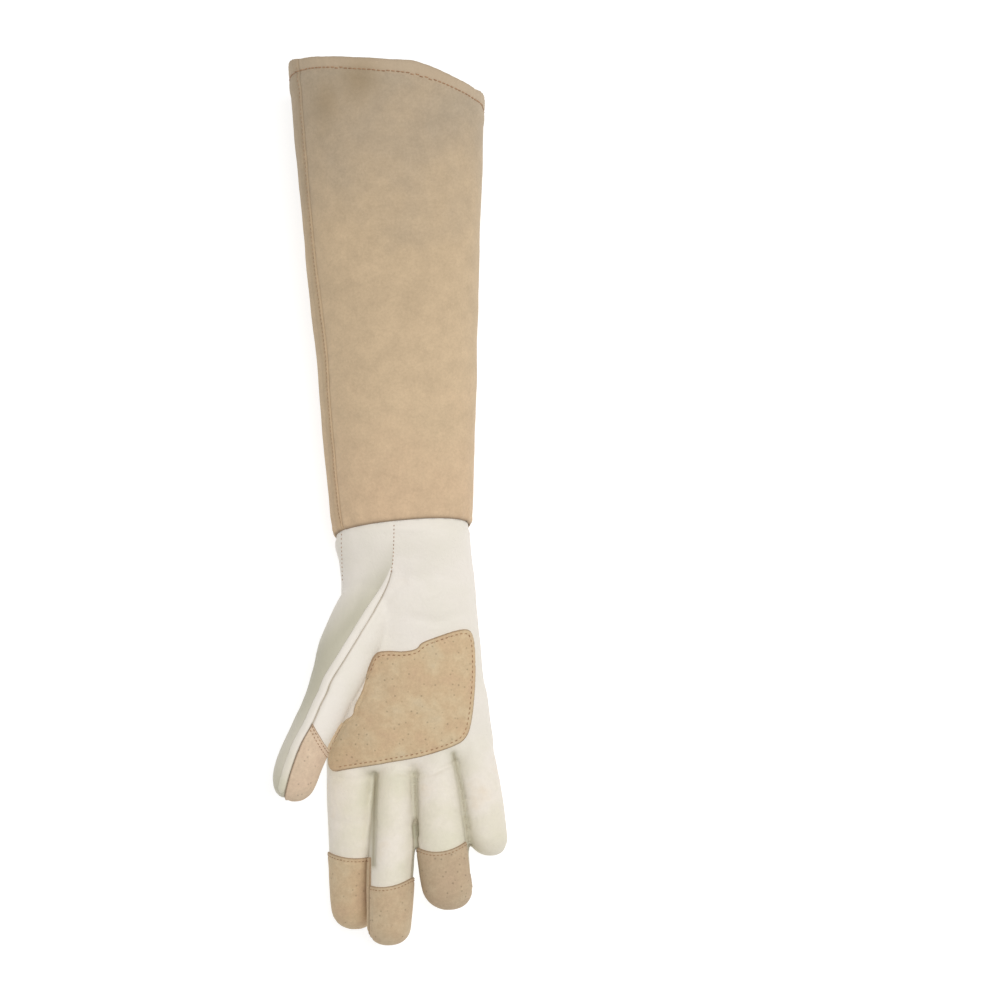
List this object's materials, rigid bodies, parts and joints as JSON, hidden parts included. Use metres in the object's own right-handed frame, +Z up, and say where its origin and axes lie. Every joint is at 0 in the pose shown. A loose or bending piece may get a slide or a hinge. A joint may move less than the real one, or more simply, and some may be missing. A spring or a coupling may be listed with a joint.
{
  "type": "rose pruning gauntlet",
  "caption": "Long leather gauntlet glove for pruning roses: cream grain hand with suede palm patch and fingertips, and a long flared suede cuff, lying palm up.",
  "frame": {"origin": "bottom centre of the bounding box, on the surface that the back of the hand lies on", "axes": "+X across the hand to the little finger's side, +Y up the forearm to the mouth of the cuff, +Z up, out of the palm"},
  "size_m": [0.1324, 0.5092, 0.0833],
  "materials": {
    "cuff_suede": "matt split suede, buff",
    "grain_leather": "soft grain leather, cream, slight sheen",
    "patch_suede": "matt pigskin suede with fine pores, tan"
  },
  "bodies": {
    "root": {"cuff": "cuff_suede", "hand_trank": "grain_leather", "index_finger": "grain_leather", "middle_finger": "grain_leather", "ring_finger": "grain_leather", "little_finger": "grain_leather", "thumb_front": "grain_leather", "wing": "grain_leather", "thumb_back": "grain_leather", "fourchette_index_middle": "grain_leather", "fourchette_middle_ring": "grain_leather", "fourchette_ring_little": "grain_leather", "palm_patch": "patch_suede", "index_tip": "patch_suede", "middle_tip": "patch_suede", "ring_tip": "patch_suede", "thumb_tip": "patch_suede"}
  },
  "joints": []
}
